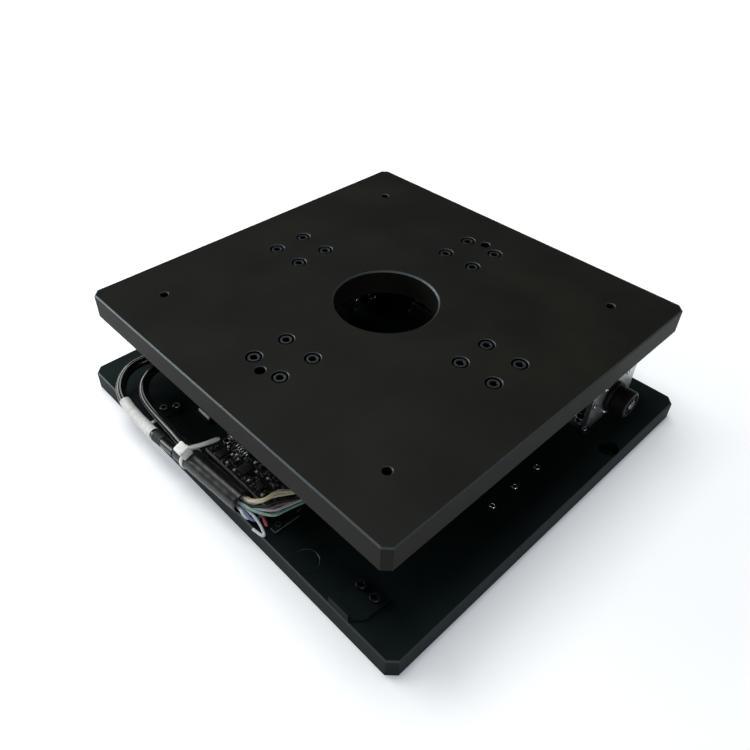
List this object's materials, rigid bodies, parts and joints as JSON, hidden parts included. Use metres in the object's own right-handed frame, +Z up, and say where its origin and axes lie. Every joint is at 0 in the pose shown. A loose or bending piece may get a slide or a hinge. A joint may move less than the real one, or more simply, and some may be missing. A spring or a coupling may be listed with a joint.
{
  "type": "uvw alignment stage",
  "caption": "Flat square alignment stage: a bored table on crossed-guide units with small motors, over a base with wiring along one edge.",
  "frame": {"origin": "centre of the base's light bore at the base's underside", "axes": "+Z up through both light bores; +X and +Y along the table's sides, the U motor's knob towards -Y and the wiring along the -X edge"},
  "size_m": [0.1716, 0.1778, 0.05],
  "materials": {
    "plate_black": "satin black anodised",
    "unit_black": "black anodised",
    "rail_steel": "ground steel",
    "block_steel": "ground steel",
    "rotor_steel": "ground steel",
    "motor_black": "black painted",
    "bracket_bright": "clear anodised",
    "nut_brass": "turned brass",
    "screw_steel": "rolled steel",
    "knob_black": "moulded, matt black",
    "tray_dark": "dark painted sheet",
    "board_green": "dark green solder mask",
    "clip_black": "dark painted sheet",
    "header_white": "moulded, off-white",
    "tie_white": "moulded nylon",
    "wire_colours": "coloured wire insulation",
    "sheath_black": "glossy shrink sleeve",
    "cable_black": "soft black jacket"
  },
  "bodies": {
    "base": {"base_plate": "plate_black", "board_tray": "tray_dark", "cable_inner": "cable_black", "cable_outer": "cable_black", "cable_sheath": "sheath_black", "cable_tie": "tie_white", "circuit_board": "board_green", "edge_clip": "clip_black", "follower_rail": "rail_steel", "u_bearing": "unit_black", "u_bracket": "bracket_bright", "u_motor": "motor_black", "u_rail_left": "rail_steel", "u_rail_right": "rail_steel", "v_bearing": "unit_black", "v_bracket": "bracket_bright", "v_motor": "motor_black", "v_rail_left": "rail_steel", "v_rail_right": "rail_steel", "w_bearing": "unit_black", "w_bracket": "bracket_bright", "w_motor": "motor_black", "w_rail_left": "rail_steel", "w_rail_right": "rail_steel", "wire_bundle": "wire_colours", "wire_header": "header_white"},
    "table": {"table_plate": "plate_black", "u_rotor": "rotor_steel", "v_rotor": "rotor_steel", "follower_rotor": "rotor_steel"},
    "u_carriage": {"u_saddle": "unit_black", "u_block_left": "block_steel", "u_block_right": "block_steel", "u_nut": "nut_brass", "u_cross_rail": "rail_steel"},
    "u_cross": {"u_cross_block": "unit_black"},
    "u_drive": {"u_screw": "screw_steel", "u_knob": "knob_black"},
    "v_carriage": {"v_saddle": "unit_black", "v_block_left": "block_steel", "v_block_right": "block_steel", "v_nut": "nut_brass", "v_cross_rail": "rail_steel"},
    "v_cross": {"v_cross_block": "unit_black"},
    "v_drive": {"v_screw": "screw_steel", "v_knob": "knob_black"},
    "w_carriage": {"w_saddle": "unit_black", "w_block_left": "block_steel", "w_block_right": "block_steel", "w_nut": "nut_brass", "w_cross_rail": "rail_steel"},
    "w_cross": {"w_cross_block": "unit_black", "w_rotor": "rotor_steel"},
    "w_drive": {"w_screw": "screw_steel", "w_knob": "knob_black"},
    "follower_carriage": {"follower_saddle": "unit_black", "follower_block": "block_steel", "follower_cross_rail": "rail_steel"},
    "follower_cross": {"follower_cross_block": "unit_black"}
  },
  "joints": [
    {"name": "x_travel", "type": "slide", "parent": "base", "child": "w_carriage", "axis": [1, 0, 0], "range_m": [-0.005, 0.005]},
    {"name": "y_travel", "type": "slide", "parent": "w_carriage", "child": "w_cross", "axis": [0, 1, 0], "range_m": [-0.005, 0.005]},
    {"name": "yaw", "type": "hinge", "parent": "w_cross", "child": "table", "pos_m": [0, 0, 0.0395], "axis": [0, 0, 1], "range_deg": [-4, 4]},
    {"name": "u_pivot", "type": "hinge", "parent": "table", "child": "u_cross", "pos_m": [0.05, 0, 0.0395], "axis": [0, 0, 1], "range_deg": [-4, 4]},
    {"name": "u_cross_slide", "type": "slide", "parent": "u_cross", "child": "u_carriage", "axis": [1, 0, 0], "range_m": [-0.005, 0.005]},
    {"name": "v_pivot", "type": "hinge", "parent": "table", "child": "v_cross", "pos_m": [-0.05, 0, 0.0395], "axis": [0, 0, 1], "range_deg": [-4, 4]},
    {"name": "v_cross_slide", "type": "slide", "parent": "v_cross", "child": "v_carriage", "axis": [1, 0, 0], "range_m": [-0.005, 0.005]},
    {"name": "follower_pivot", "type": "hinge", "parent": "table", "child": "follower_cross", "pos_m": [0, -0.05, 0.0395], "axis": [0, 0, 1], "range_deg": [-4, 4]},
    {"name": "follower_cross_slide", "type": "slide", "parent": "follower_cross", "child": "follower_carriage", "axis": [0, 1, 0], "range_m": [-0.005, 0.005]},
    {"name": "u_screw_turn", "type": "hinge", "parent": "base", "child": "u_drive", "pos_m": [0.053, 0, 0.018], "axis": [0, 1, 0], "range_deg": [-1800.01, 1800.01]},
    {"name": "v_screw_turn", "type": "hinge", "parent": "base", "child": "v_drive", "pos_m": [-0.047, 0, 0.018], "axis": [0, 1, 0], "range_deg": [-1800.01, 1800.01]},
    {"name": "w_screw_turn", "type": "hinge", "parent": "base", "child": "w_drive", "pos_m": [0, 0.053, 0.018], "axis": [1, 0, 0], "range_deg": [-1800.01, 1800.01]}
  ],
  "couplings": [
    {"joint": "u_pivot", "follows": "yaw", "ratio": -1},
    {"joint": "v_pivot", "follows": "yaw", "ratio": -1},
    {"joint": "follower_pivot", "follows": "yaw", "ratio": -1},
    {"joint": "u_cross_slide", "follows": "x_travel", "ratio": -1},
    {"joint": "v_cross_slide", "follows": "x_travel", "ratio": -1},
    {"joint": "follower_cross_slide", "follows": "y_travel", "ratio": -1},
    {"joint": "u_screw_turn", "follows": "y_travel", "rad_per_m": -6283.2},
    {"joint": "v_screw_turn", "follows": "y_travel", "rad_per_m": -6283.2},
    {"joint": "w_screw_turn", "follows": "x_travel", "rad_per_m": -6283.2}
  ]
}
